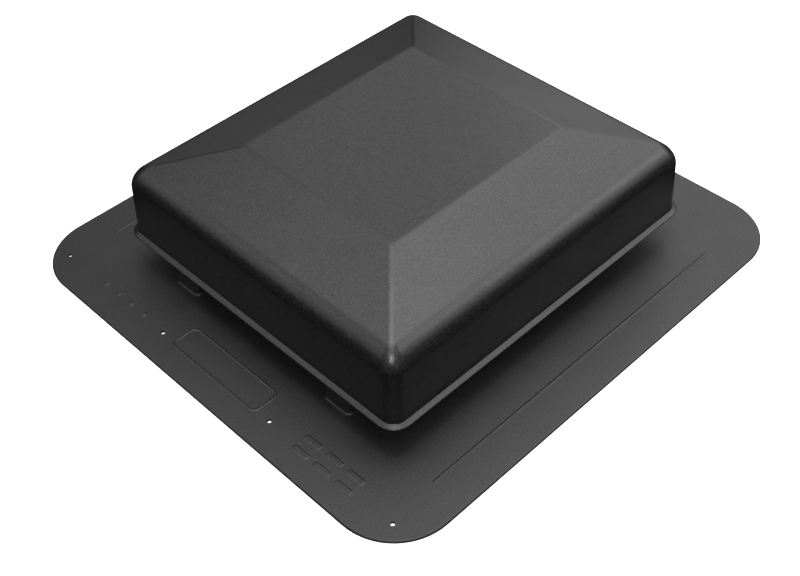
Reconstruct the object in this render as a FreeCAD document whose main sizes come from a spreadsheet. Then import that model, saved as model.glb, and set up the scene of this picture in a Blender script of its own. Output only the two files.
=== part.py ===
import FreeCAD, Part
import math
import os
import re

import Sketcher

# Square-top static roof vent. A moulded flashing carries a raised throat, four hollow posts and
# four insect screens. A hipped hood with an out-turned lip stands on the posts, held by four
# screws driven up through them. Millimetres; the origin is the middle of the flashing's
# underside, +Y points up the roof slope, +X across it and +Z away from the roof deck.

DIMENSIONS = {
    # flashing
    "flange_across": 393.7,
    "flange_along": 413.0,
    "flange_corner": 45.4,          # plan radius
    "flange_thick": 2.0,
    "flange_edge": 1.4,             # rounding of the top edge
    "nail_inset": 21.6,             # nail row from the downslope edge
    "nail_pitch": 115.5,
    "nail_radius": 1.6,             # clears an 11-gauge roofing nail
    "bead_inset": 27.2,             # shingle alignment bead from the side edge
    "bead_half_long": 145.5,
    "bead_half_wide": 0.8,
    "bead_height": 0.7,
    # blank raised marks on the downslope margin
    "mark_height": 0.5,
    "bar_across": 112.0,            # middle of the group of bars
    "bar_pitch": 20.0,
    "bar_half_long": 7.5,
    "bar_half_wide": 2.6,
    "bar_first_row": 19.0,          # from the downslope edge
    "bar_second_row": 30.0,
    "plaque_inset": 30.0,
    "plaque_half_long": 46.0,
    "plaque_half_wide": 12.0,
    "plaque_rim": 1.2,
    "plaque_corner": 5.0,
    "dash_across": 105.0,
    "dash_pitch": 15.0,
    "dash_half": 2.4,
    "dash_inset": 23.0,
    # throat
    "throat_half": 90.0,
    "throat_corner": 15.0,
    "collar_wall": 4.6,
    "collar_top": 32.0,
    "guide_top": 86.0,
    "guide_arm": 69.0,              # the screen guides start this far from a side's middle
    "groove_depth": 3.0,
    "groove_play": 0.1,             # on each side of a screen frame
    # screens
    "frame_thick": 2.4,
    "frame_bar": 4.0,
    "mesh_thick": 1.0,
    # hood posts
    "post_across": 80.3,
    "post_along": 136.2,
    "post_half_wide": 12.0,
    "post_half_deep": 9.0,
    "post_corner": 3.2,
    "post_top": 62.0,
    "post_wall": 2.4,
    "post_roof": 3.0,
    "post_foot": 2.1,               # fillet onto the flange
    # hood
    "hood_half_across": 137.4,      # at the foot of the wall
    "hood_half_along": 147.4,
    "hood_foot": 28.0,
    "hood_wall": 2.5,
    "wall_draft": 2.0,              # degrees
    "wall_corner": 10.5,
    "eave_height": 81.5,            # where wall and roof slope would meet
    "eave_radius": 18.7,
    "roof_slope": 18.6,             # degrees
    "roof_height": 102.3,
    "roof_corner": 3.0,
    "ridge_radius": 12.0,
    "lip_bottom": 25.5,
    "lip_reach": 3.7,
    "lip_corner": 14.0,
    "lip_edge": 0.8,
    "overshoot_depth": 5.0,         # how far the cavity runs out below the lip
    # inside the hood
    "rib_half": 1.0,
    "rib_offset": 30.0,
    "rib_inner_bottom": 93.0,
    "rib_outer_bottom": 76.0,
    "rib_gap": 3.0,                 # from the screens' guides to the deeper ribs outside them
    "ring_half": 87.5,
    "ring_corner": 12.5,
    "ring_wall": 2.0,
    "ring_bottom": 83.0,
    "boss_radius": 5.0,
    "pilot_radius": 2.05,
    "pilot_top": 76.5,
    # hood screws
    "shank_radius": 2.0,
    "shank_length": 16.0,
    "head_radius": 3.8,
    "head_tip": 3.0,
    "head_height": 2.6,
    "screw_hole": 2.3,              # in the top of a post
    "recess_half": 0.5,
    "recess_reach": 2.2,
    "recess_depth": 1.4,
}

EAVE_STEPS = 7
RIDGE_STEPS = 2
TOUCH = 1e-4                        # closer than this, two heights are one
GUESS_HALF = 20.0                   # a sketched outline's half size and corner, before its
GUESS_TURN = 3.0                    # dimensions take hold
TURNS = {"downslope": 0, "right": 90, "upslope": 180, "left": 270}
CORNERS = [(1, -1), (1, 1), (-1, 1), (-1, -1)]

doc = FreeCAD.newDocument("roof_vent")
sheet = doc.addObject("Spreadsheet::Sheet", "dims")
for row, (alias, value) in enumerate(DIMENSIONS.items(), start=1):
    sheet.set(f"A{row}", alias)
    sheet.set(f"B{row}", str(value))
    sheet.setAlias(f"B{row}", alias)
doc.recompute()


# ------------------------------------------------------------------------------- helpers

def follow(thing, prop, formula):
    """Ties a property to a formula of the sheet's aliases, which all hold an underscore."""
    thing.setExpression(prop, re.sub(r"[a-z]+(?:_[a-z]+)+", lambda found: "dims." + found.group(), formula))


def place(thing, x, y, z):
    """Ties an object's position to three formulas."""
    for axis, formula in zip("xyz", (x, y, z)):
        follow(thing, f"Placement.Base.{axis}", formula)


def block(name, low, span):
    """A box, by the formulas of its low corner and its size."""
    box = doc.addObject("Part::Box", name)
    place(box, *low)
    for prop, formula in zip(("Length", "Width", "Height"), span):
        follow(box, prop, formula)
    return box


def rod(name, base, radius, height, tip=None):
    """An upright cylinder, or a cone that has the radius tip at its bottom."""
    round_bar = doc.addObject("Part::Cone" if tip else "Part::Cylinder", name)
    place(round_bar, *base)
    follow(round_bar, "Height", height)
    if tip:
        follow(round_bar, "Radius1", tip)
        follow(round_bar, "Radius2", radius)
    else:
        follow(round_bar, "Radius", radius)
    return round_bar


def joined(name, kind, shapes):
    """Several objects fused, intersected or grouped."""
    whole = doc.addObject(kind, name)
    if kind == "Part::Compound":
        whole.Links = shapes
    else:
        whole.Shapes = shapes
        whole.Refine = True
    return whole


def cut(name, base, tool):
    """One object less another."""
    rest = doc.addObject("Part::Cut", name)
    rest.Base = base
    rest.Tool = tool
    rest.Refine = True
    return rest


def plan_sketch(body, name, height="0"):
    """A sketch on the body's XY plane, raised to a height."""
    sketch = body.newObject("Sketcher::SketchObject", name)
    plane = next(feature for feature in body.Origin.OriginFeatures if feature.Role == "XY_Plane")
    sketch.AttachmentSupport = [(plane, "")]
    sketch.MapMode = "FlatFace"
    follow(sketch, "AttachmentOffset.Base.z", height)
    return sketch


def constrain(sketch, fixed, sized=()):
    """Adds plain constraints, and dimensions that start at a guess and are tied to a formula."""
    relations = [Sketcher.Constraint(*each) for each in fixed]
    dimensions = [Sketcher.Constraint(*where, guess) for where, guess, _ in sized]
    added = sketch.addConstraint(relations + dimensions)
    for index, (_, _, formula) in zip(added[len(relations):], sized):
        follow(sketch, f"Constraints[{index}]", formula)


def circle(sketch, x, y, radius):
    """A circle about a centre."""
    index = sketch.addGeometry(Part.Circle(FreeCAD.Vector(0, 0, 0), FreeCAD.Vector(0, 0, 1), GUESS_TURN))
    constrain(sketch, [], [(("Radius", index), GUESS_TURN, radius),
                           (("DistanceX", -1, 1, index, 3), 0.0, x),
                           (("DistanceY", -1, 1, index, 3), 0.0, y)])


def side_positions(sides, half_x, half_y, x, y):
    """The dimensions that hold a rectangle's right, top, left and bottom sides."""
    right, top, left, bottom = sides
    return [(("DistanceX", -1, 1, right, 1), GUESS_HALF, f"{x} + {half_x}"),
            (("DistanceY", -1, 1, top, 1), GUESS_HALF, f"{y} + {half_y}"),
            (("DistanceX", -1, 1, left, 1), -GUESS_HALF, f"{x} - ({half_x})"),
            (("DistanceY", -1, 1, bottom, 1), -GUESS_HALF, f"{y} - ({half_y})")]


def rectangle(sketch, half_x, half_y, x="0", y="0"):
    """A plain rectangle about a centre."""
    first = sketch.GeometryCount
    corners = [FreeCAD.Vector(GUESS_HALF * across, GUESS_HALF * along, 0) for across, along in CORNERS]
    sketch.addGeometry([Part.LineSegment(corners[number], corners[(number + 1) % 4]) for number in range(4)])
    sides = range(first, first + 4)
    fixed = [("Coincident", side, 2, first + (number + 1) % 4, 1) for number, side in enumerate(sides)]
    fixed += [(kind, side) for kind, side in zip(("Vertical", "Horizontal") * 2, sides)]
    constrain(sketch, fixed, side_positions(sides, half_x, half_y, x, y))


def rounded_rectangle(sketch, half_x, half_y, radius, x="0", y="0"):
    """A rectangle with rounded corners about a centre."""
    first = sketch.GeometryCount
    quarter = math.radians(90)
    arcs = []
    for number, (across, along) in enumerate(CORNERS):
        middle = FreeCAD.Vector(across, along, 0) * (GUESS_HALF - GUESS_TURN)
        turn = Part.Circle(middle, FreeCAD.Vector(0, 0, 1), GUESS_TURN)
        arcs.append(Part.ArcOfCircle(turn, quarter * (number - 1), quarter * number))
    lines = [Part.LineSegment(arc.EndPoint, arcs[(number + 1) % 4].StartPoint)
             for number, arc in enumerate(arcs)]
    sketch.addGeometry(arcs + lines)
    sides = range(first + 4, first + 8)
    fixed = []
    for number, side in enumerate(sides):
        fixed.append(("Tangent", first + number, 2, side, 1))
        fixed.append(("Tangent", side, 2, first + (number + 1) % 4, 1))
        fixed.append((("Vertical", "Horizontal")[number % 2], side))
    fixed += [("Equal", first, first + number) for number in range(1, 4)]
    sized = [(("Radius", first), GUESS_TURN, radius)]
    constrain(sketch, fixed, sized + side_positions(sides, half_x, half_y, x, y))


def ring(sketch, half_x, half_y, radius, wall):
    """Two rounded rectangles, one a wall's thickness inside the other."""
    rounded_rectangle(sketch, half_x, half_y, radius)
    rounded_rectangle(sketch, f"{half_x} - {wall}", f"{half_y} - {wall}", f"{radius} - {wall}")


def pad(body, name, sketch, length, taper="0"):
    """Material added upwards from a sketch."""
    feature = body.newObject("PartDesign::Pad", name)
    feature.Profile = sketch
    follow(feature, "Length", length)
    follow(feature, "TaperAngle", taper)
    return feature


def pocket(body, name, sketch, length, up=False, taper="0"):
    """Material taken away below a sketch, or above it."""
    doc.recompute()
    before = body.Shape.Volume
    feature = body.newObject("PartDesign::Pocket", name)
    feature.Profile = sketch
    feature.Reversed = up
    follow(feature, "Length", length)
    follow(feature, "TaperAngle", taper)
    doc.recompute()
    if body.Shape.Volume >= before:
        raise RuntimeError(f"{name} cuts nothing")
    return feature


def round_edges(body, name, feature, radius, wanted):
    """A fillet on the edges of a feature that a test picks."""
    doc.recompute()
    names = [f"Edge{number}" for number, edge in enumerate(feature.Shape.Edges, start=1) if wanted(edge)]
    fillet = body.newObject("PartDesign::Fillet", name)
    fillet.Base = (feature, names)
    follow(fillet, "Radius", radius)
    return fillet


def level(edge, alias):
    """Whether an edge lies flat at the height that an alias holds."""
    box = edge.BoundBox
    return max(abs(box.ZMin - DIMENSIONS[alias]), abs(box.ZMax - DIMENSIONS[alias])) < TOUCH


# ------------------------------------------------------------------------------ flashing

def add_throat(body):
    """The square collar with grooved corner guides for the screens, and the throat through the flange."""
    walls = plan_sketch(body, "collar_plan")
    outside = "throat_half + collar_wall"
    ring(walls, outside, outside, "throat_corner + collar_wall", "collar_wall")
    pad(body, "collar", walls, "guide_top")
    opening = plan_sketch(body, "throat_plan")
    rounded_rectangle(opening, "throat_half", "throat_half", "throat_corner")
    pocket(body, "throat", opening, "flange_thick", up=True)
    window_half = ("guide_arm", "throat_half + 2 * collar_wall")
    groove_half = ("guide_arm + groove_depth", "frame_thick / 2 + groove_play")
    wall_middle = "throat_half + collar_wall / 2"
    for name, order in (("across", 1), ("along", -1)):
        window = plan_sketch(body, f"window_plan_{name}", "guide_top")
        rectangle(window, *window_half[::order])
        grooves = plan_sketch(body, f"groove_plan_{name}", "guide_top")
        for side in (1, -1):
            centre = ("0", f"{side} * ({wall_middle})")
            rectangle(grooves, *groove_half[::order], *centre[::order])
        pocket(body, f"screen_window_{name}", window, "guide_top - collar_top")
        pocket(body, f"screen_grooves_{name}", grooves, "guide_top - collar_top")


def post_outlines(sketch, inset):
    """The four hood posts' outlines at their feet, drawn in by an inset."""
    for across, along in CORNERS:
        rounded_rectangle(sketch, f"post_half_wide - {inset}", f"post_half_deep - {inset}",
                          f"post_corner - {inset}", f"{across} * post_across", f"{along} * post_along")


def add_posts(body):
    """Four drafted posts with a fillet at the foot."""
    sketch = plan_sketch(body, "post_plan")
    post_outlines(sketch, "0")
    posts = pad(body, "posts", sketch, "post_top", "-wall_draft")
    collar = DIMENSIONS["throat_half"] + DIMENSIONS["collar_wall"]
    edge_row = DIMENSIONS["post_along"] + 2 * DIMENSIONS["post_half_deep"]

    def at_foot(edge):
        middle = edge.BoundBox.Center
        return level(edge, "flange_thick") and collar + 1 < abs(middle.y) < edge_row

    round_edges(body, "post_feet", posts, "post_foot", at_foot)


def hollow_posts(body):
    """Cores up the posts from below, and a screw hole through each post's top."""
    cores = plan_sketch(body, "core_plan")
    post_outlines(cores, "post_wall")
    pocket(body, "post_cores", cores, "post_top - post_roof", up=True, taper="-wall_draft")
    holes = plan_sketch(body, "screw_hole_plan", "post_top")
    for across, along in CORNERS:
        circle(holes, f"{across} * post_across", f"{along} * post_along", "screw_hole")
    pocket(body, "screw_holes", holes, "2 * post_roof")


def add_beads(body):
    """A long low bead near each side edge, for lining up the shingles."""
    sketch = plan_sketch(body, "bead_plan")
    for side in (1, -1):
        rectangle(sketch, "bead_half_wide", "bead_half_long", f"{side} * (flange_across / 2 - bead_inset)")
    pad(body, "beads", sketch, "flange_thick + bead_height")


def add_marks(body):
    """Blank moulded marks on the downslope margin: two rows of bars, a row of dashes and a plaque's rim."""
    bars = plan_sketch(body, "bar_plan")
    for row in ("bar_first_row", "bar_second_row"):
        for column in (-1, 0, 1):
            rectangle(bars, "bar_half_long", "bar_half_wide",
                      f"bar_across + {column} * bar_pitch", f"{row} - flange_along / 2")
    dashes = plan_sketch(body, "dash_plan")
    for column in (-1.5, -0.5, 0.5, 1.5):
        rectangle(dashes, "dash_half", "dash_half",
                  f"{column} * dash_pitch - dash_across", "dash_inset - flange_along / 2")
    plaque = plan_sketch(body, "plaque_plan")
    for inset in ("0", "plaque_rim"):
        rounded_rectangle(plaque, f"plaque_half_long - {inset}", f"plaque_half_wide - {inset}",
                          f"plaque_corner - {inset}", "0", "plaque_inset - flange_along / 2")
    for name, sketch in (("bars", bars), ("dashes", dashes), ("plaque", plaque)):
        pad(body, name, sketch, "flange_thick + mark_height")


def drill_nail_holes(body):
    """Four holes in a row along the downslope edge."""
    sketch = plan_sketch(body, "nail_plan")
    circle(sketch, "-1.5 * nail_pitch", "nail_inset - flange_along / 2", "nail_radius")
    hole = pocket(body, "nail_hole", sketch, "2 * flange_thick", up=True)
    row = body.newObject("PartDesign::LinearPattern", "nail_holes")
    row.Originals = [hole]
    row.Direction = (sketch, ["H_Axis"])
    row.Occurrences = 4
    follow(row, "Length", "3 * nail_pitch")
    body.Tip = row


def base_flashing():
    """The moulded base: flange, throat collar, screen guides, posts, beads, marks and nail holes."""
    body = doc.addObject("PartDesign::Body", "base_flashing")
    plan = plan_sketch(body, "flange_plan")
    rounded_rectangle(plan, "flange_across / 2", "flange_along / 2", "flange_corner")
    plate = pad(body, "flange", plan, "flange_thick")
    round_edges(body, "flange_rim", plate, "flange_edge", lambda edge: level(edge, "flange_thick"))
    add_throat(body)
    add_posts(body)
    hollow_posts(body)
    add_beads(body)
    add_marks(body)
    drill_nail_holes(body)
    return body


# ---------------------------------------------------------------------------------- hood

TANGENT = "eave_radius * tan((90 - wall_draft - roof_slope) / 2)"
WALL_END = f"(eave_height - {TANGENT} * cos(wall_draft))"
EAVE_INSET = f"(({WALL_END} - hood_foot) * tan(wall_draft) + eave_radius * cos(wall_draft))"
EAVE_MIDDLE = f"({WALL_END} - eave_radius * sin(wall_draft))"
RIDGE_INSET = ("((eave_height - hood_foot) * tan(wall_draft) + (roof_height - eave_height) / tan(roof_slope)"
               " + ridge_radius * tan(roof_slope / 2))")
RIDGE_MIDDLE = "(roof_height - ridge_radius)"


def hood_sections(start, depth):
    """Each section's height, inset from the wall's foot and plan corner, for a skin a depth inside."""
    foot_inset = f"(({start} - hood_foot) * tan(wall_draft) + {depth} / cos(wall_draft))"
    yield start, foot_inset, f"wall_corner - {depth}"
    for step in range(EAVE_STEPS + 1):
        part = step / EAVE_STEPS
        angle = f"(wall_draft + (90 - roof_slope - wall_draft) * {part})"
        corner = f"wall_corner + (roof_corner - wall_corner) * {part} - {depth}"
        yield (f"{EAVE_MIDDLE} + (eave_radius - {depth}) * sin{angle}",
               f"{EAVE_INSET} - (eave_radius - {depth}) * cos{angle}", corner)
    for step in range(RIDGE_STEPS + 1):
        angle = f"(90 - roof_slope + roof_slope * {step / RIDGE_STEPS})"
        yield (f"{RIDGE_MIDDLE} + (ridge_radius - {depth}) * sin{angle}",
               f"{RIDGE_INSET} - (ridge_radius - {depth}) * cos{angle}", f"roof_corner - {depth}")


def add_skin(body, start, depth):
    """The hood's form, lofted through level sections."""
    sections = []
    for number, (height, inset, corner) in enumerate(hood_sections(start, depth)):
        sketch = plan_sketch(body, f"{body.Name}_section_{number}", height)
        rounded_rectangle(sketch, f"hood_half_across - ({inset})", f"hood_half_along - ({inset})", corner)
        sections.append(sketch)
    skin = body.newObject("PartDesign::AdditiveLoft", f"{body.Name}_skin")
    skin.Profile = sections[0]
    skin.Sections = sections[1:]
    skin.Ruled = True


def hood_outside():
    """The hood as a solid block, with the lip that turns out round its foot."""
    body = doc.addObject("PartDesign::Body", "hood_outside")
    plan = plan_sketch(body, "lip_plan", "lip_bottom")
    rounded_rectangle(plan, "hood_half_across + lip_reach", "hood_half_along + lip_reach", "lip_corner")
    lip = pad(body, "lip", plan, "hood_foot - lip_bottom")
    round_edges(body, "lip_rim", lip, "lip_edge", lambda edge: level(edge, "hood_foot"))
    add_skin(body, "lip_bottom", "0")
    return body


def hood_cavity():
    """The space inside the hood's walls and roof."""
    body = doc.addObject("PartDesign::Body", "hood_cavity")
    add_skin(body, "(lip_bottom - overshoot_depth)", "hood_wall")
    return body


def hood_ribs():
    """The stiffening ribs, the ring over the screens and the screw bosses, before the roof trims them."""
    ring_line = "(ring_half - ring_wall / 2)"
    outer_start = "(throat_half + collar_wall + rib_gap)"
    shapes = []
    for side in (1, -1):
        line = f"{side} * rib_offset - rib_half"
        for name, reach, order in (("along", "hood_half_along", 1), ("across", "hood_half_across", -1)):
            spans = [(f"-{ring_line}", f"2 * {ring_line}", "rib_inner_bottom"),
                     (outer_start, f"{reach} - {outer_start}", "rib_outer_bottom"),
                     (f"-{reach}", f"{reach} - {outer_start}", "rib_outer_bottom")]
            for start, length, bottom in spans:
                low = (line, start)[::order]
                extent = ("2 * rib_half", length)[::order]
                shapes.append(block(f"rib_{name}", (*low, bottom), (*extent, f"roof_height - {bottom}")))
    screen_ring = doc.addObject("PartDesign::Body", "screen_ring")
    plan = plan_sketch(screen_ring, "screen_ring_plan", "ring_bottom")
    ring(plan, "ring_half", "ring_half", "ring_corner", "ring_wall")
    pad(screen_ring, "screen_ring_wall", plan, "roof_height - ring_bottom")
    shapes.append(screen_ring)
    for across, along in CORNERS:
        shapes.append(rod("screw_boss", (f"{across} * post_across", f"{along} * post_along", "post_top"),
                          "boss_radius", "roof_height - post_top"))
    return joined("rib_blanks", "Part::MultiFuse", shapes)


def hood():
    """The hollow hood with its ribs trimmed to the roof and a pilot hole in each boss."""
    outside = hood_outside()
    shell = cut("hood_shell", outside, hood_cavity())
    ribs = joined("ribs_in_roof", "Part::MultiCommon", [outside, hood_ribs()])
    solid = joined("hood_solid", "Part::MultiFuse", [shell, ribs])
    pilots = [rod("pilot", (f"{across} * post_across", f"{along} * post_along", "post_top - post_roof"),
                  "pilot_radius", "pilot_top - post_top + post_roof") for across, along in CORNERS]
    return cut("hood", solid, joined("pilots", "Part::MultiFuse", pilots))


# ------------------------------------------------------------------- screens and screws

def screen(side):
    """One insect screen: its moulded frame and its sheet of mesh, turned to a side of the throat."""
    half_long = "(guide_arm + groove_depth - groove_play)"
    front = "throat_half + collar_wall / 2"
    tall = "guide_top - collar_top"
    turn = FreeCAD.Placement(FreeCAD.Vector(0, 0, 0), FreeCAD.Rotation(FreeCAD.Vector(0, 0, 1), TURNS[side]))
    outer = block(f"frame_blank_{side}", (f"-{half_long}", f"-({front}) - frame_thick / 2", "collar_top"),
                  (f"2 * {half_long}", "frame_thick", tall))
    inner = block(f"frame_opening_{side}",
                  (f"frame_bar - {half_long}", f"-({front}) - frame_thick", "collar_top + frame_bar"),
                  (f"2 * ({half_long} - frame_bar)", "2 * frame_thick", f"{tall} - 2 * frame_bar"))
    frame = cut(f"screen_frame_{side}", outer, inner)
    sheet_of_mesh = block(f"mesh_sheet_{side}",
                          (f"frame_bar - {half_long}", f"-({front}) - mesh_thick / 2",
                           "collar_top + frame_bar"),
                          (f"2 * ({half_long} - frame_bar)", "mesh_thick", f"{tall} - 2 * frame_bar"))
    mesh = joined(f"screen_mesh_{side}", "Part::Compound", [sheet_of_mesh])
    frame.Placement = turn
    mesh.Placement = turn
    return [frame, mesh]


def hood_screws():
    """Four self-tapping screws, heads down inside the posts."""
    screws = []
    seat = "(post_top - post_roof)"
    for number, (across, along) in enumerate(CORNERS):
        x, y = f"{across} * post_across", f"{along} * post_along"
        shank = rod(f"shank_{number}", (x, y, seat), "shank_radius", "shank_length")
        low = f"{seat} - head_height"
        head = rod(f"head_{number}", (x, y, low), "head_radius", "head_height", "head_tip")
        slot_x = block(f"recess_x_{number}", (f"{x} - recess_reach", f"{y} - recess_half", low),
                       ("2 * recess_reach", "2 * recess_half", "recess_depth"))
        slot_y = block(f"recess_y_{number}", (f"{x} - recess_half", f"{y} - recess_reach", low),
                       ("2 * recess_half", "2 * recess_reach", "recess_depth"))
        whole = joined(f"screw_{number}", "Part::MultiFuse", [shank, head])
        recess = joined(f"recess_{number}", "Part::MultiFuse", [slot_x, slot_y])
        screws.append(cut(f"hood_screw_{number}", whole, recess))
    return joined("hood_screws", "Part::Compound", screws)


# -------------------------------------------------------------------------------- output

nodes = [base_flashing(), hood(), hood_screws()]
for side in TURNS:
    nodes += screen(side)
doc.recompute()

for thing in doc.Objects:
    if {"Invalid", "Error"} & set(thing.State):
        raise RuntimeError(f"{thing.Name} did not build: {thing.State}")
os.makedirs("parts", exist_ok=True)
for node in nodes:
    node.Label = node.Name
    if node.Shape.isNull() or not node.Shape.isValid():
        raise RuntimeError(f"{node.Label} has no valid shape")
    box = node.Shape.optimalBoundingBox(False)
    print(node.Label, len(node.Shape.Solids), f"{node.Shape.Volume:.0f} mm3",
          f"z {box.ZMin:.2f} to {box.ZMax:.2f}, {box.XLength:.2f} x {box.YLength:.2f}")
    node.Shape.exportStep(f"parts/{node.Label}.step")
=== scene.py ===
import math

import bpy
from mathutils import Matrix, Vector


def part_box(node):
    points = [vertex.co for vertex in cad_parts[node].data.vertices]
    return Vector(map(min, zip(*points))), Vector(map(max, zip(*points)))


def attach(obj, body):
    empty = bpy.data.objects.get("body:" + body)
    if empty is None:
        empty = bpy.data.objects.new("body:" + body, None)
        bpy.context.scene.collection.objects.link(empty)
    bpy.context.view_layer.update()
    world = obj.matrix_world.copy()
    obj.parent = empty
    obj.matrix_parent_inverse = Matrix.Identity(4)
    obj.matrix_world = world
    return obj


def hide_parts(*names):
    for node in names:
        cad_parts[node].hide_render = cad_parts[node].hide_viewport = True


# A square-top roof vent, lying on its flashing. +Y is up the roof slope, +X across it and +Z away
# from the deck. Every piece is a clean closed mesh built here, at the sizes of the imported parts.

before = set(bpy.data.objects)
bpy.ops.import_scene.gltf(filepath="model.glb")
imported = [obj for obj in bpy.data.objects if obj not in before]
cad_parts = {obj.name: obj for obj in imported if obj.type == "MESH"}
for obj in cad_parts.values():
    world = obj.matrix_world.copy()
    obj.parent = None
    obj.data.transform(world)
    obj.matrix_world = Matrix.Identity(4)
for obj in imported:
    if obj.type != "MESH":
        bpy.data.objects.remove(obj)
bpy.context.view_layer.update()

MM = 0.001
PAST = 1 * MM              # how far a cutting or a joined piece goes past a surface
UP = Vector((0, 0, 1))
CORNERS = ((1, -1), (1, 1), (-1, 1), (-1, -1))
# each side of the throat, with its turn in degrees from the downslope side
SIDES = {"downslope": 0, "right": 90, "upslope": 180, "left": 270}

hood_low, hood_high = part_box("hood")
base_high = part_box("base_flashing")[1]
screw_low, screw_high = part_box("hood_screws")
panel_low, panel_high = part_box("screen_frame_downslope")
sheet_low, sheet_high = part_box("screen_mesh_downslope")

# flashing
FLANGE_X = base_high.x
FLANGE_Y = base_high.y
FLANGE_CORNER = 45.4 * MM
FLANGE_TOP = 2 * MM
FLANGE_ROUNDING = 1.4 * MM
UNDER_EDGE = 0.3 * MM      # the small chamfer where a moulding's side meets its underside
COLLAR_TOP = panel_low.z
COLLAR_INSIDE = 90 * MM
COLLAR_WALL = 4.6 * MM
COLLAR_CORNER = 15 * MM
GUIDE_START = 69 * MM
GROOVE_HALF = 1.3 * MM
GROOVE_DEEP = 3 * MM
GUIDE_TOP = base_high.z
NAIL_PITCH = 115.5 * MM
NAIL_ROW = 21.6 * MM - FLANGE_Y
NAIL_RADIUS = 1.6 * MM
BEAD_X = FLANGE_X - 27.2 * MM
BEAD_HALF_LONG = 145.5 * MM
BEAD_HEIGHT = 0.7 * MM
MARK_HEIGHT = 0.5 * MM
MARK_CORNER = 1.6 * MM

# hood posts, with the screws in their middles
SCREW_RADIUS = 3.8 * MM
POST_X = screw_high.x - SCREW_RADIUS
POST_Y = screw_high.y - SCREW_RADIUS
POST_HALF_X = 12 * MM
POST_HALF_Y = 9 * MM
POST_CORNER = 3.2 * MM
POST_WALL = 2.4 * MM
POST_TOP = 62 * MM
POST_CEILING = 59 * MM
POST_FILLET = 2.1 * MM
POST_RIM = 0.5 * MM
SCREW_HOLE_RADIUS = 2.3 * MM
POST_PLACES = [(across * POST_X, along * POST_Y) for across, along in CORNERS]

# hood
LIP_REACH = 3.7 * MM
LIP_TOP = hood_low.z + 2.5 * MM
LIP_CORNER = 14 * MM
HOOD_X = hood_high.x - LIP_REACH
HOOD_Y = hood_high.y - LIP_REACH
HOOD_TOP = hood_high.z
HOOD_WALL = 2.5 * MM
DRAFT = math.radians(2)
ROOF_SLOPE = math.radians(18.6)
EAVE_HEIGHT = 81.5 * MM
EAVE_RADIUS = 18.7 * MM
RIDGE_RADIUS = 12 * MM
WALL_CORNER = 10.5 * MM
ROOF_CORNER = 3 * MM
SCREEN_RING = 87.5 * MM
SCREEN_RING_BOTTOM = 83 * MM
RIB_OFFSET = 30 * MM
INNER_RIB_BOTTOM = 93 * MM
OUTER_RIB_BOTTOM = 76 * MM
BOSS_RADIUS = 5 * MM
PILOT_RADIUS = 2.05 * MM
PILOT_TOP = 76.5 * MM


# ------------------------------------------------------------------------------- shapes

def arc(centre, radius, start, end, steps=4):
    """Points (outward, height) on an arc between two angles in degrees."""
    for step in range(steps + 1):
        angle = math.radians(start + (end - start) * step / steps)
        yield centre[0] + radius * math.cos(angle), centre[1] + radius * math.sin(angle)


def outline(half_x, half_y, corner, centre=(0, 0), turn_steps=6, side_steps=1):
    """Points round a rounded rectangle, anticlockwise from the right side's lower end."""
    smallest = 0.05 * MM
    corner = min(max(corner, smallest), half_x, half_y)
    turns = []
    for number, (across, along) in enumerate(CORNERS):
        middle = Vector((centre[0] + across * (half_x - corner), centre[1] + along * (half_y - corner)))
        turn = []
        for step in range(turn_steps + 1):
            angle = math.radians(90) * (number - 1 + step / turn_steps)
            turn.append(middle + corner * Vector((math.cos(angle), math.sin(angle))))
        turns.append(turn)
    points = []
    for turn, after in zip(turns, turns[1:] + turns[:1]):
        points += turn
        points += [turn[-1].lerp(after[0], step / side_steps) for step in range(1, side_steps)]
    return points


def ring(half_x, half_y, corner, height, **layout):
    """A rounded rectangle's outline at a height, or at what a function of x and y gives as height."""
    points = outline(half_x, half_y, corner, **layout)
    return [Vector((*point, height(*point) if callable(height) else height)) for point in points]


def rings(half_x, half_y, corner, profile, **layout):
    """One ring for each (outward, height) of a profile that runs round a rounded rectangle."""
    return [ring(half_x + outward, half_y + outward, corner + outward, height, **layout)
            for outward, height in profile]


def mesh_object(name, vertices, faces):
    """A new object from points and faces."""
    mesh = bpy.data.meshes.new(name)
    mesh.from_pydata([tuple(point) for point in vertices], [], faces)
    mesh.validate()
    piece = bpy.data.objects.new(name, mesh)
    bpy.context.scene.collection.objects.link(piece)
    return piece


def skin(name, loops, closed=False):
    """A skin through loops of points, with two flat ends or with its last loop meeting its first."""
    count = len(loops[0])
    vertices = [point for loop in loops for point in loop]
    pairs = [(number, number + 1) for number in range(len(loops) - 1)]
    if closed:
        pairs.append((len(loops) - 1, 0))
    faces = []
    for here, there in pairs:
        for step in range(count):
            after = (step + 1) % count
            faces.append((here * count + step, here * count + after,
                          there * count + after, there * count + step))
    if not closed:
        faces.append(tuple(reversed(range(count))))
        faces.append(tuple(range(len(vertices) - count, len(vertices))))
    return mesh_object(name, vertices, faces)


def applied(piece):
    """Replaces a piece's mesh by the one that its modifiers make."""
    shown = piece.evaluated_get(bpy.context.evaluated_depsgraph_get())
    final = bpy.data.meshes.new_from_object(shown)
    piece.modifiers.clear()
    piece.data = final
    return piece


def combined(whole, parts, operation):
    """Joins parts to a whole ("UNION") or cuts them out of it ("DIFFERENCE"), and drops the parts."""
    group = bpy.data.collections.new("parts")
    for part in parts:
        group.objects.link(part)
    change = whole.modifiers.new("combine", "BOOLEAN")
    change.operation = operation
    change.operand_type = "COLLECTION"
    change.collection = group
    change.solver = "EXACT"
    applied(whole)
    for part in parts:
        bpy.data.objects.remove(part)
    bpy.data.collections.remove(group)
    return whole


def softened(piece, width):
    """Rounds a piece's sharp edges."""
    bevel = piece.modifiers.new("bevel", "BEVEL")
    bevel.width = width
    bevel.segments = 2
    bevel.limit_method = "ANGLE"
    bevel.angle_limit = math.radians(50)
    return applied(piece)


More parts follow.
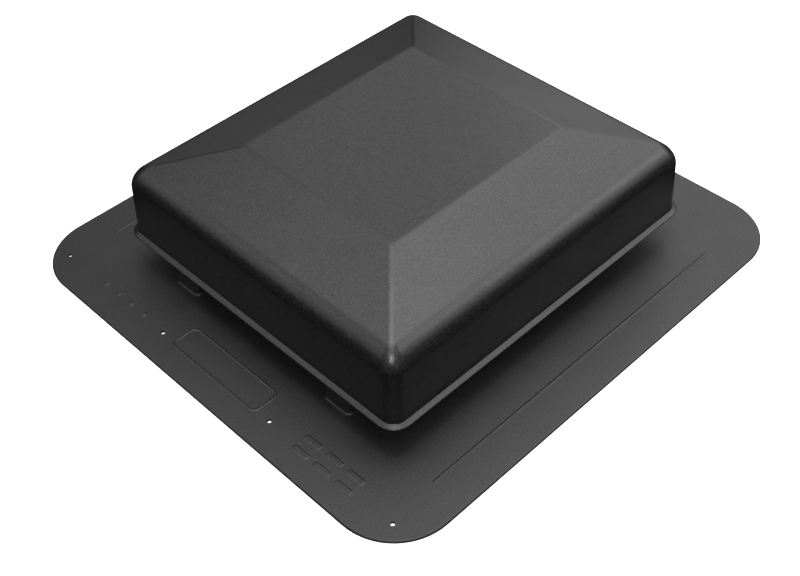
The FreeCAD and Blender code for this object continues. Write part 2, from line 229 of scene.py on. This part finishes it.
def finished(piece, body, slot, material, *nodes):
    """Shades a piece, gives it its material and puts it on a body in place of CAD nodes."""
    piece.data.shade_smooth()
    piece.data.set_sharp_from_angle(angle=math.radians(38))
    weigh = piece.modifiers.new("weigh", "WEIGHTED_NORMAL")
    weigh.keep_sharp = True
    applied(piece)
    piece.data.materials.clear()
    piece.data.materials.append(material)
    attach(piece, body)
    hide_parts(*nodes)
    return piece


# ------------------------------------------------------------------------------ flashing

def flange_and_collar():
    """The flange and the collar below the screens: one closed skin round the throat."""
    fine = {"turn_steps": 16}
    edge = [(-UNDER_EDGE, 0), (0, UNDER_EDGE)]
    edge += arc((-FLANGE_ROUNDING, FLANGE_TOP - FLANGE_ROUNDING), FLANGE_ROUNDING, 0, 90)
    fillet = 1.2 * MM
    rim = 0.5 * MM
    outside = list(arc((fillet, FLANGE_TOP + fillet), fillet, 270, 180))
    outside += arc((-rim, COLLAR_TOP - rim), rim, 0, 90)
    inside = list(arc((rim, COLLAR_TOP - rim), rim, 90, 180))
    inside += [(0, rim), (rim, 0)]
    collar_outside = COLLAR_INSIDE + COLLAR_WALL
    loops = rings(FLANGE_X, FLANGE_Y, FLANGE_CORNER, edge, **fine)
    loops += rings(collar_outside, collar_outside, COLLAR_CORNER + COLLAR_WALL, outside, **fine)
    loops += rings(COLLAR_INSIDE, COLLAR_INSIDE, COLLAR_CORNER, inside, **fine)
    return skin("base_flashing_moulding", loops, closed=True)


def screen_guide(turn):
    """One corner of the throat above the collar, with a groove in each end for a screen's frame."""
    middle = COLLAR_INSIDE - COLLAR_CORNER
    plane = COLLAR_INSIDE + COLLAR_WALL / 2
    outer = list(arc((middle, middle), COLLAR_CORNER + COLLAR_WALL, 90, 0, steps=10))
    inner = list(arc((middle, middle), COLLAR_CORNER, 0, 90, steps=10))
    groove_end = GUIDE_START + GROOVE_DEEP
    grooved_end = [(COLLAR_INSIDE + COLLAR_WALL, GUIDE_START),
                   (plane + GROOVE_HALF, GUIDE_START),
                   (plane + GROOVE_HALF, groove_end),
                   (plane - GROOVE_HALF, groove_end),
                   (plane - GROOVE_HALF, GUIDE_START),
                   (COLLAR_INSIDE, GUIDE_START)]
    other_end = [(y, x) for x, y in reversed(grooved_end)]
    plan = outer + grooved_end + inner + other_end
    loops = [[Vector((x, y, height)) for x, y in reversed(plan)]
             for height in (COLLAR_TOP - PAST, GUIDE_TOP)]
    edge_rounding = 0.3 * MM
    guide = softened(skin("screen_guide", loops), edge_rounding)
    guide.data.transform(Matrix.Rotation(math.radians(turn), 4, "Z"))
    return guide


def post(centre):
    """A drafted hood post that rises from a fillet at its foot."""
    narrowing = POST_TOP * math.tan(DRAFT)
    profile = [(POST_FILLET, FLANGE_TOP / 2)]
    profile += arc((POST_FILLET, FLANGE_TOP + POST_FILLET), POST_FILLET, 270, 180, steps=6)
    profile += arc((-POST_RIM - narrowing, POST_TOP - POST_RIM), POST_RIM, 0, 90)
    return skin("post", rings(POST_HALF_X, POST_HALF_Y, POST_CORNER, profile, centre=centre))


def post_core(centre):
    """The space inside a post, open below."""
    narrowing = POST_CEILING * math.tan(DRAFT)
    top_corner = 0.4 * MM
    profile = [(0, -PAST), (-narrowing, POST_CEILING)]
    loops = rings(POST_HALF_X - POST_WALL, POST_HALF_Y - POST_WALL, narrowing + top_corner, profile,
                  centre=centre)
    return skin("post_core", loops)


def round_pin(centre, radius, low, high):
    """An upright round solid that cuts a hole."""
    return skin("pin", rings(radius, radius, radius, [(0, low), (0, high)], centre=centre))


def flank(height, rounding, slope):
    """(outward, height) up a raised form's sloping side, from inside the flange to its top edge."""
    root = 0.3 * MM
    top = FLANGE_TOP + height
    tilt = math.radians(slope)
    straight_rise = height - rounding * (1 - math.cos(tilt))
    inset = rounding * math.sin(tilt) + straight_rise / math.tan(tilt)
    foot = (root / math.tan(tilt), FLANGE_TOP - root)
    return [foot, *arc((-inset, top - rounding), rounding, 90 - slope, 90)]


def raised(name, half_x, half_y, corner, centre, side):
    """A low raised form on the flange, with a given profile up its sides."""
    return skin(name, rings(half_x, half_y, corner, side, centre=centre))


def beads():
    """The two long beads that line up the shingles."""
    half_wide = 1.25 * MM
    side = flank(BEAD_HEIGHT, rounding=0.6 * MM, slope=38)
    return [raised("bead", half_wide, BEAD_HALF_LONG, half_wide, (end * BEAD_X, 0), side)
            for end in (-1, 1)]


def bars(side):
    """Two rows of three plain bars on the right of the downslope margin."""
    rows = (19 * MM, 30 * MM)
    middle = 112 * MM
    pitch = 20 * MM
    size = (7.5 * MM, 2.6 * MM)
    return [raised("bar", *size, MARK_CORNER, (middle + column * pitch, row - FLANGE_Y), side)
            for row in rows for column in (-1, 0, 1)]


def dashes(side):
    """A row of four small squares on the left of the downslope margin."""
    row = 23 * MM - FLANGE_Y
    middle = -105 * MM
    pitch = 15 * MM
    half = 2.4 * MM
    return [raised("dash", half, half, MARK_CORNER, (column * pitch + middle, row), side)
            for column in (-1.5, -0.5, 0.5, 1.5)]


def plaque(side):
    """An empty plaque's raised rim in the middle of the downslope margin."""
    half_x = 46 * MM
    half_y = 12 * MM
    corner = 6 * MM
    rim_width = 2.6 * MM
    row = 30 * MM - FLANGE_Y
    inner = [(-rim_width - outward, height) for outward, height in reversed(side)]
    return skin("plaque", rings(half_x, half_y, corner, side + inner, centre=(0, row)), closed=True)


def blank_marks():
    """Plain raised marks without any lettering."""
    side = flank(MARK_HEIGHT, rounding=0.8 * MM, slope=28)
    return bars(side) + dashes(side) + [plaque(side)]


def base_flashing(material):
    """The whole moulded base."""
    base = flange_and_collar()
    parts = [screen_guide(turn) for turn in SIDES.values()]
    parts += [post(place) for place in POST_PLACES]
    parts += beads() + blank_marks()
    combined(base, parts, "UNION")
    holes = [post_core(place) for place in POST_PLACES]
    holes += [round_pin((column * NAIL_PITCH, NAIL_ROW), NAIL_RADIUS, -PAST, FLANGE_TOP + PAST)
              for column in (-1.5, -0.5, 0.5, 1.5)]
    combined(base, holes, "DIFFERENCE")
    screw_holes = [round_pin(place, SCREW_HOLE_RADIUS, POST_CEILING - PAST, POST_TOP + PAST)
                   for place in POST_PLACES]
    combined(base, screw_holes, "DIFFERENCE")
    return finished(base, "base", "moulded_base", material, "base_flashing")


# ---------------------------------------------------------------------------------- hood

EAVE_TANGENT = EAVE_RADIUS * math.tan((math.radians(90) - DRAFT - ROOF_SLOPE) / 2)
WALL_END = EAVE_HEIGHT - EAVE_TANGENT * math.cos(DRAFT)
EAVE_INSET = (WALL_END - LIP_TOP) * math.tan(DRAFT) + EAVE_RADIUS * math.cos(DRAFT)
EAVE_MIDDLE = WALL_END - EAVE_RADIUS * math.sin(DRAFT)
EAVE_LINE = (EAVE_HEIGHT - LIP_TOP) * math.tan(DRAFT)
RIDGE_INSET = (EAVE_LINE + (HOOD_TOP - EAVE_HEIGHT) / math.tan(ROOF_SLOPE)
               + RIDGE_RADIUS * math.tan(ROOF_SLOPE / 2))


def hood_section(depth):
    """(inset, height, plan corner) from wall to flat top, for a skin a depth inside the hood."""
    eave_steps = 20
    for step in range(eave_steps + 1):
        part = step / eave_steps
        angle = DRAFT + (math.radians(90) - ROOF_SLOPE - DRAFT) * part
        # the cube keeps the corner round until it's nearly on the roof
        corner = WALL_CORNER + (ROOF_CORNER - WALL_CORNER) * part ** 3 - depth
        radius = EAVE_RADIUS - depth
        yield EAVE_INSET - radius * math.cos(angle), EAVE_MIDDLE + radius * math.sin(angle), corner
    ridge_steps = 6
    for step in range(ridge_steps + 1):
        angle = math.radians(90) - ROOF_SLOPE * (1 - step / ridge_steps)
        radius = RIDGE_RADIUS - depth
        inset = RIDGE_INSET - radius * math.cos(angle)
        yield inset, HOOD_TOP - RIDGE_RADIUS + radius * math.sin(angle), ROOF_CORNER - depth


def roof_height(inset, depth):
    """The height of the skin a depth inside the hood, at an inset from the foot of its wall."""
    radius = EAVE_RADIUS - depth
    if inset < EAVE_INSET - radius * math.sin(ROOF_SLOPE):
        reach = max(EAVE_INSET - inset, 0)
        return EAVE_MIDDLE + math.sqrt(max(radius ** 2 - reach ** 2, 0))
    outside = EAVE_HEIGHT + (inset - EAVE_LINE) * math.tan(ROOF_SLOPE)
    return min(outside - depth / math.cos(ROOF_SLOPE), HOOD_TOP - depth)


def under_roof(x, y):
    """The height halfway through the roof's thickness, where the parts under it end."""
    depth = HOOD_WALL / 2
    return min(roof_height(HOOD_X - abs(x), depth), roof_height(HOOD_Y - abs(y), depth))


def hood_skin():
    """The hood's outside, its lip and its inside as one closed skin."""
    layout = {"turn_steps": 8}

    def skin_rings(depth):
        return [ring(HOOD_X - inset, HOOD_Y - inset, corner, height, **layout)
                for inset, height, corner in hood_section(depth)]

    bottom = hood_low.z
    wall_bottom = (bottom - LIP_TOP) * math.tan(DRAFT)
    rounding = 0.7 * MM
    fillet = 0.6 * MM
    lip_fall = 1.1 * MM
    slope_start = 72
    edge_middle = (-rounding, LIP_TOP - lip_fall - rounding)
    lip = [(-UNDER_EDGE, bottom), (0, bottom + UNDER_EDGE), *arc(edge_middle, rounding, 0, slope_start)]
    foot = list(arc((fillet, LIP_TOP + fillet), fillet, 270, 180))
    inside_foot = -HOOD_WALL / math.cos(DRAFT) - wall_bottom
    loops = list(reversed(skin_rings(HOOD_WALL)))
    loops.append(ring(HOOD_X + inside_foot, HOOD_Y + inside_foot, WALL_CORNER - HOOD_WALL, bottom,
                      **layout))
    loops += rings(HOOD_X + LIP_REACH, HOOD_Y + LIP_REACH, LIP_CORNER, lip, **layout)
    loops += rings(HOOD_X, HOOD_Y, WALL_CORNER, foot, **layout)
    loops += skin_rings(0)
    return skin("hood_moulding", loops)


def under_hood_solid(half_x, half_y, corner, bottom, centre, side_steps):
    """An upright solid from a chamfered lower edge up into the roof: a rib or a boss."""
    layout = {"centre": centre, "side_steps": side_steps, "turn_steps": 3}
    profile = [(-UNDER_EDGE, bottom), (0, bottom + UNDER_EDGE), (0, under_roof)]
    return skin("under_hood_solid", rings(half_x, half_y, corner, profile, **layout))


def ribs():
    """The roof's ribs: two each way, shallow over the screens and deep outside them."""
    half = 1 * MM
    corner = 0.5 * MM
    beside_collar = 3 * MM
    from_wall = HOOD_WALL / 2 + 3.2 * MM
    inner_end = SCREEN_RING - half
    outer_start = COLLAR_INSIDE + COLLAR_WALL + beside_collar
    found = []
    for side in (-1, 1):
        for order, wall in ((1, HOOD_Y), (-1, HOOD_X)):
            spans = [(0, inner_end, INNER_RIB_BOTTOM)]
            outer_half = (wall - from_wall - outer_start) / 2
            for end in (-1, 1):
                spans.append((end * (outer_start + outer_half), outer_half, OUTER_RIB_BOTTOM))
            for middle, half_long, bottom in spans:
                centre = (side * RIB_OFFSET, middle)[::order]
                size = (half, half_long)[::order]
                found.append(under_hood_solid(*size, corner, bottom, centre, side_steps=16))
    return found


def screen_ring():
    """The wall under the roof that closes the gap over the screens."""
    wall = 2 * MM
    corner = 12.5 * MM
    chamfer_top = SCREEN_RING_BOTTOM + UNDER_EDGE
    profile = [(-UNDER_EDGE, SCREEN_RING_BOTTOM),
               (0, chamfer_top),
               (0, under_roof),
               (-wall, under_roof),
               (-wall, chamfer_top),
               (-wall + UNDER_EDGE, SCREEN_RING_BOTTOM)]
    loops = rings(SCREEN_RING, SCREEN_RING, corner, profile, side_steps=16)
    return skin("screen_ring", loops, closed=True)


def hood(material):
    """The hood with its ribs, ring and screw bosses."""
    whole = hood_skin()
    parts = ribs() + [screen_ring()]
    parts += [under_hood_solid(BOSS_RADIUS, BOSS_RADIUS, BOSS_RADIUS, POST_TOP, place, side_steps=1)
              for place in POST_PLACES]
    combined(whole, parts, "UNION")
    pilots = [round_pin(place, PILOT_RADIUS, POST_TOP - PAST, PILOT_TOP) for place in POST_PLACES]
    combined(whole, pilots, "DIFFERENCE")
    return finished(whole, "hood", "moulded_hood", material, "hood")


# ------------------------------------------------------------------- screens and screws

def stand_at(piece, side):
    """Turns a piece made for the downslope side of the throat to another side."""
    piece.data.transform(Matrix.Rotation(math.radians(SIDES[side]), 4, "Z"))
    return piece


def screen_frame(side, material):
    """A screen's moulded frame, with rounded edges."""
    half_long = panel_high.x
    half_tall = (panel_high.z - panel_low.z) / 2
    half_thick = (panel_high.y - panel_low.y) / 2
    bar = 4 * MM
    outer_corner = 0.9 * MM
    inner_corner = 1.2 * MM
    soft = 0.4 * MM
    outer = [(-soft, -half_thick), (0, soft - half_thick), (0, half_thick - soft), (-soft, half_thick)]
    inner = [(-outward, height) for outward, height in reversed(outer)]
    layout = {"turn_steps": 4}
    loops = rings(half_long, half_tall, outer_corner, outer, **layout)
    loops += rings(half_long - bar, half_tall - bar, inner_corner, inner, **layout)
    piece = skin(f"screen_frame_{side}_moulding", loops, closed=True)
    middle = (panel_low + panel_high) / 2
    piece.data.transform(Matrix.Translation(middle) @ Matrix.Rotation(math.radians(90), 4, "X"))
    stand_at(piece, side)
    return finished(piece, "base", "screen_plastic", material, f"screen_frame_{side}")


def add_wire(path, radius, vertices, faces):
    """Adds a thin round wire along a path of points."""
    sides = 6
    first = len(vertices)
    for number, point in enumerate(path):
        along = (path[min(number + 1, len(path) - 1)] - path[max(number - 1, 0)]).normalized()
        across = along.cross(Vector((0, 1, 0))).normalized()
        other = along.cross(across)
        for step in range(sides):
            angle = math.tau * step / sides
            vertices.append(point + radius * (math.cos(angle) * across + math.sin(angle) * other))
    for number in range(len(path) - 1):
        for step in range(sides):
            after = (step + 1) % sides
            low = first + number * sides
            faces.append((low + step, low + after, low + sides + after, low + sides + step))
    faces.append(tuple(reversed(range(first, first + sides))))
    faces.append(tuple(range(len(vertices) - sides, len(vertices))))


def screen_mesh(side, material):
    """A sheet of plain-woven wire: each wire passes over one and under the next."""
    pitch = 3.175 * MM
    radius = 0.22 * MM
    into_frame = 0.5 * MM
    steps_per_cell = 4
    spans = [(sheet_high.x + into_frame, Vector((1, 0, 0))),
             ((sheet_high.z - sheet_low.z) / 2 + into_frame, Vector((0, 0, 1)))]
    middle = (sheet_low + sheet_high) / 2
    vertices = []
    faces = []
    for (half_run, run), (half_spread, spread), phase in ((*spans, 0), (*spans[::-1], 1)):
        wires = int(2 * half_spread / pitch)
        cells = int(2 * half_run / pitch) + 1
        for wire in range(wires):
            offset = (wire - (wires - 1) / 2) * pitch
            path = []
            for step in range(cells * steps_per_cell + 1):
                place = half_run * (2 * step / (cells * steps_per_cell) - 1)
                wave = math.cos(math.pi * (place / pitch + wire + phase))
                path.append(middle + run * place + spread * offset + Vector((0, wave * radius, 0)))
            add_wire(path, radius, vertices, faces)
    piece = stand_at(mesh_object(f"screen_mesh_{side}_wires", vertices, faces), side)
    return finished(piece, "base", "screen_wire", material, f"screen_mesh_{side}")


def screw_head():
    """A screw's domed head with a cross recess."""
    bottom = screw_low.z - POST_CEILING
    dome = [(1.8 * MM, bottom),
            (3 * MM, bottom + 0.25 * MM),
            (SCREW_RADIUS - 0.2 * MM, -1.1 * MM),
            (SCREW_RADIUS, -0.6 * MM),
            (SCREW_RADIUS, 0)]
    head = skin("screw_head", [ring(radius, radius, radius, height, turn_steps=8)
                               for radius, height in dome])
    reach = 2.2 * MM
    half = 0.5 * MM
    corner = 0.1 * MM
    recess = [(0, bottom - PAST), (-0.2 * MM, bottom + 1.4 * MM)]
    cutters = [skin("recess", rings(x, y, corner, recess)) for x, y in ((reach, half), (half, reach))]
    combined(cutters[0], cutters[1:], "UNION")
    return combined(head, cutters[:1], "DIFFERENCE")


def screw_shank():
    """A screw's threaded shank, which starts inside its head."""
    length = screw_high.z - POST_CEILING
    inside_head = 0.3 * MM
    crest = 2 * MM
    root = 1.5 * MM
    pitch = 1.8 * MM
    point = 3 * MM
    narrowing = 0.55
    steps = 24
    levels = int(length / pitch * 8)
    loops = []
    for level in range(levels + 1):
        height = length * level / levels
        taper = 1 - narrowing * max(0, (height - length + point) / point)
        lowered = inside_head if level == 0 else 0
        loop = []
        for step in range(steps):
            turn = step / steps
            thread = abs(((height / pitch - turn) % 1) - 0.5) * 2
            radius = (root + (crest - root) * max(0, thread * 2 - 1)) * taper
            angle = math.tau * turn
            loop.append(Vector((radius * math.cos(angle), radius * math.sin(angle), height - lowered)))
        loops.append(loop)
    return skin("screw_shank", loops)


def screw_mesh():
    """A pan-head screw with a cross recess and a coarse thread, head down and seated at the origin."""
    screw = screw_head()
    combined(screw, [screw_shank()], "UNION")
    mesh = screw.data
    bpy.data.objects.remove(screw)
    return mesh


def hood_screws(material):
    """The four screws, each standing in its post."""
    mesh = screw_mesh()
    for number, (x, y) in enumerate(POST_PLACES, start=1):
        piece = bpy.data.objects.new(f"hood_screw_{number}", mesh.copy())
        bpy.context.scene.collection.objects.link(piece)
        turned = Matrix.Rotation(math.radians(37) * number, 4, "Z")
        piece.data.transform(Matrix.Translation((x, y, POST_CEILING)) @ turned)
        finished(piece, "base", "zinc_steel", material, "hood_screws")


# ----------------------------------------------------------------------------- materials

class Recipe:
    """A material, with short calls for the nodes that the recipes share."""

    def __init__(self, name):
        self.material = bpy.data.materials.new(name)
        self.material.use_nodes = True
        self.tree = self.material.node_tree
        self.shader = self.tree.nodes["Principled BSDF"]
        self.position = self.node("ShaderNodeTexCoord").outputs["Object"]

    def node(self, kind, **settings):
        made = self.tree.nodes.new(kind)
        for name, value in settings.items():
            setattr(made, name, value)
        return made

    def join(self, source, target):
        self.tree.links.new(source, target)

    def noise(self, feature, detail=2.0, roughness=0.5):
        """Soft noise from 0 to 1 whose patches are about a feature long."""
        made = self.node("ShaderNodeTexNoise")
        self.join(self.position, made.inputs["Vector"])
        made.inputs["Scale"].default_value = 1 / feature
        made.inputs["Detail"].default_value = detail
        made.inputs["Roughness"].default_value = roughness
        return made.outputs["Fac"]

    def spread(self, value, low, high, start=0.3, end=0.7):
        """A value's range from start to end, stretched to run from low to high."""
        made = self.node("ShaderNodeMapRange")
        self.join(value, made.inputs["Value"])
        for name, number in (("From Min", start), ("From Max", end), ("To Min", low), ("To Max", high)):
            made.inputs[name].default_value = number
        return made.outputs["Result"]

    def product(self, first, second):
        """Two values multiplied."""
        made = self.node("ShaderNodeMath", operation="MULTIPLY")
        self.join(first, made.inputs[0])
        self.join(second, made.inputs[1])
        return made.outputs["Value"]

    def blend(self, share, first, second):
        """A mix of two colours by a share. A colour is three numbers or another node's output."""
        made = self.node("ShaderNodeMix", data_type="RGBA")
        self.join(share, made.inputs["Factor"])
        for target, colour in ((made.inputs["A"], first), (made.inputs["B"], second)):
            if isinstance(colour, tuple):
                target.default_value = (*colour, 1)
            else:
                self.join(colour, target)
        return made.outputs["Result"]

    def edges(self, radius):
        """The normal rounded over a radius, and how far it leans from the true one: 0 on flat faces."""
        rounded = self.node("ShaderNodeBevel", samples=4)
        rounded.inputs["Radius"].default_value = radius
        true = self.node("ShaderNodeNewGeometry").outputs["Normal"]
        product = self.node("ShaderNodeVectorMath", operation="DOT_PRODUCT")
        self.join(rounded.outputs["Normal"], product.inputs[0])
        self.join(true, product.inputs[1])
        lean = self.spread(product.outputs["Value"], low=1, high=0, start=0.8, end=0.99)
        return rounded.outputs["Normal"], lean

    def bump(self, height, distance, normal=None):
        """A surface normal from a height field whose full range is a distance tall."""
        made = self.node("ShaderNodeBump")
        made.inputs["Distance"].default_value = distance
        self.join(height, made.inputs["Height"])
        if normal:
            self.join(normal, made.inputs["Normal"])
        return made.outputs["Normal"]


def moulded_plastic(name, colour, fleck, gloss, grain, relief):
    """Black plastic with fine grain, paler flecks, flow clouds, rubbed edges and a little dust."""
    recipe = Recipe(name)
    inputs = recipe.shader.inputs
    rounded, edge = recipe.edges(0.5 * MM)
    clouds = recipe.noise(60 * MM, detail=3)
    fine = recipe.noise(grain, detail=1)
    dust = recipe.noise(2.2 * MM, detail=4, roughness=0.7)
    darker, lighter = (tuple(value * share for value in colour) for share in (0.8, 1.2))
    paler_when_worn = 0.025
    worn = tuple(value + paler_when_worn for value in colour)
    body = recipe.blend(recipe.spread(clouds, 0, 1), darker, lighter)
    grained = recipe.blend(recipe.spread(fine, 0, 1, start=0.4, end=0.8), body, fleck)
    dusty = recipe.blend(recipe.spread(dust, 0, 0.3, start=0.6, end=0.8), grained, worn)
    rubbed = recipe.product(edge, recipe.spread(recipe.noise(7 * MM), 0.1, 0.6))
    recipe.join(recipe.blend(rubbed, dusty, worn), inputs["Base Color"])
    dulling = recipe.noise(25 * MM, detail=4)
    recipe.join(recipe.spread(dulling, gloss - 0.03, gloss + 0.04), inputs["Roughness"])
    swell = recipe.bump(clouds, 0.1 * MM, rounded)
    recipe.join(recipe.bump(fine, relief, swell), inputs["Normal"])
    inputs["Specular IOR Level"].default_value = 0.5
    return recipe.material


def bare_metal(name, colour, gloss, grain):
    """Metal with dull patches and a fine uneven surface."""
    recipe = Recipe(name)
    inputs = recipe.shader.inputs
    inputs["Metallic"].default_value = 1
    patches = recipe.noise(1.5 * MM, detail=3)
    dull_share = 0.62
    dull = tuple(value * dull_share for value in colour)
    recipe.join(recipe.blend(recipe.spread(patches, 0, 1), dull, colour), inputs["Base Color"])
    recipe.join(recipe.spread(patches, gloss + 0.15, gloss - 0.05), inputs["Roughness"])
    recipe.join(recipe.bump(recipe.noise(grain), 0.02 * MM), inputs["Normal"])
    return recipe.material


def floor_paint():
    """Matt white studio floor with the faintest mottling."""
    recipe = Recipe("studio_floor")
    inputs = recipe.shader.inputs
    mottle = recipe.spread(recipe.noise(180 * MM), 0, 1)
    recipe.join(recipe.blend(mottle, (0.8, 0.8, 0.8), (0.83, 0.83, 0.83)), inputs["Base Color"])
    inputs["Roughness"].default_value = 0.9
    inputs["Specular IOR Level"].default_value = 0.1
    inputs["Emission Color"].default_value = (1, 1, 1, 1)
    inputs["Emission Strength"].default_value = 0.8
    return recipe.material


# --------------------------------------------------------------------------------- stage

# Azimuth and elevation in degrees, brightness, and width in metres at 2 m from the vent. The black
# plastic shows little but its gloss, so each light is there for the faces that mirror it.
LIGHTS = (
    (0, 90, 5.6, 1.1),         # overhead: the hips and ridges
    (178, 68, 1.3, 0.8),       # the right face of the roof, near the front corner
    (43, 42, 19, 0.5),         # a small lamp by the camera: the spot on the front corner
    (43, 62, 2.0, 1.0),        # between that lamp and the overhead light
    (267, 69, 1.5, 1.5),       # the downslope face of the roof
    (155, 50, 2.3, 2.0),       # the right face and its eave
    (218, 46, 1.05, 1.4),      # the flat top and the flange
    (305, 48, 1.0, 1.3),       # the downslope eave
    (135, 30, 1.6, 1.4),       # the right eave's lower part
    (195, 30, 1.1, 1.4),       # the upslope ridge and the flange's right end
    (322, 28, 1.1, 1.2),       # the downslope eave's lower part
    (75, 22, 0.3, 1.6),        # a weak fill for the right wall
    (205, 12, 0.7, 0.8),       # the upslope face, low
    (245, 22, 0.4, 1.2),       # the left face
    (90, 52, 0.6, 1.2),        # a fill for the right side from above
    (0, 55, 0.5, 1.2),         # a fill for the downslope side from above
    (15, 24, 0.28, 1.6),       # a weak fill for the downslope wall
)


def studio_floor():
    """A pale floor that the flashing lies on. It doesn't light or mirror in the dark plastic."""
    reach = 1.6
    top = -0.1 * MM
    bottom = -20 * MM
    loops = [[Vector((x * reach, y * reach, height)) for x, y in CORNERS] for height in (bottom, top)]
    floor = skin("studio_floor", loops)
    floor.data.materials.append(floor_paint())
    floor.visible_diffuse = False
    floor.visible_glossy = False


def soft_light(name, azimuth, elevation, brightness, size):
    """A round soft light aimed at the vent. Azimuth 0 is downslope of it and 90 to its right."""
    distance = 2
    turn = math.radians(azimuth)
    rise = math.radians(elevation)
    level = math.cos(rise)
    towards = Vector((math.sin(turn) * level, -math.cos(turn) * level, math.sin(rise)))
    data = bpy.data.lights.new(name, "AREA")
    data.shape = "DISK"
    data.size = size
    # a disc's power is its brightness times pi times its area
    area = math.pi * (size / 2) ** 2
    data.energy = brightness * math.pi * area
    light = bpy.data.objects.new(name, data)
    light.location = towards * distance
    light.rotation_euler = (-towards).to_track_quat("-Z", "Y").to_euler()
    light.visible_camera = False
    bpy.context.scene.collection.objects.link(light)


def studio_lights():
    """The studio's soft lights."""
    for azimuth, elevation, brightness, size in LIGHTS:
        soft_light(f"light_{azimuth}_{elevation}", azimuth, elevation, brightness, size)


def pale_backdrop():
    """A plain white background. It's only seen directly, so it doesn't wash out the dark plastic."""
    world = bpy.data.worlds.new("studio")
    world.use_nodes = True
    background = world.node_tree.nodes["Background"]
    background.inputs["Color"].default_value = (1, 1, 1, 1)
    background.inputs["Strength"].default_value = 1
    world.cycles_visibility.diffuse = False
    world.cycles_visibility.glossy = False
    bpy.context.scene.world = world


def camera():
    """A camera that looks down on the downslope right corner, with a small roll."""
    place = Vector((0.4955, -0.4751, 0.6306))
    forward = Vector((-0.5182, 0.4883, -0.7022)).normalized()
    roll = math.radians(2.13)
    data = bpy.data.cameras.new("camera")
    data.lens = 55.5
    data.sensor_width = 36
    eye = bpy.data.objects.new("camera", data)
    level_right = forward.cross(UP).normalized()
    level_up = level_right.cross(forward)
    right = math.cos(roll) * level_right - math.sin(roll) * level_up
    up = math.cos(roll) * level_up + math.sin(roll) * level_right
    eye.matrix_world = Matrix.Translation(place) @ Matrix((right, up, -forward)).transposed().to_4x4()
    bpy.context.scene.collection.objects.link(eye)
    bpy.context.scene.camera = eye


# --------------------------------------------------------------------------------- scene

base_plastic = moulded_plastic("base_plastic",
                               colour=(0.004, 0.004, 0.0041), fleck=(0.023, 0.023, 0.0235),
                               gloss=0.45, grain=1.0 * MM, relief=0.08 * MM)
base_flashing(base_plastic)
hood_plastic = moulded_plastic("hood_plastic",
                               colour=(0.006, 0.006, 0.0062), fleck=(0.028, 0.028, 0.0286),
                               gloss=0.32, grain=1.0 * MM, relief=0.05 * MM)
hood(hood_plastic)
screen_plastic = moulded_plastic("screen_plastic",
                                 colour=(0.02, 0.02, 0.0205), fleck=(0.03, 0.03, 0.0305),
                                 gloss=0.4, grain=0.6 * MM, relief=0.05 * MM)
screen_wire = bare_metal("screen_wire", colour=(0.75, 0.76, 0.77), gloss=0.3, grain=0.2 * MM)
for name in SIDES:
    screen_frame(name, screen_plastic)
    screen_mesh(name, screen_wire)
zinc_plate = bare_metal("zinc_plate", colour=(0.72, 0.72, 0.7), gloss=0.28, grain=0.15 * MM)
hood_screws(zinc_plate)

studio_floor()
studio_lights()
pale_backdrop()
camera()
bpy.context.scene.view_settings.view_transform = "Standard"
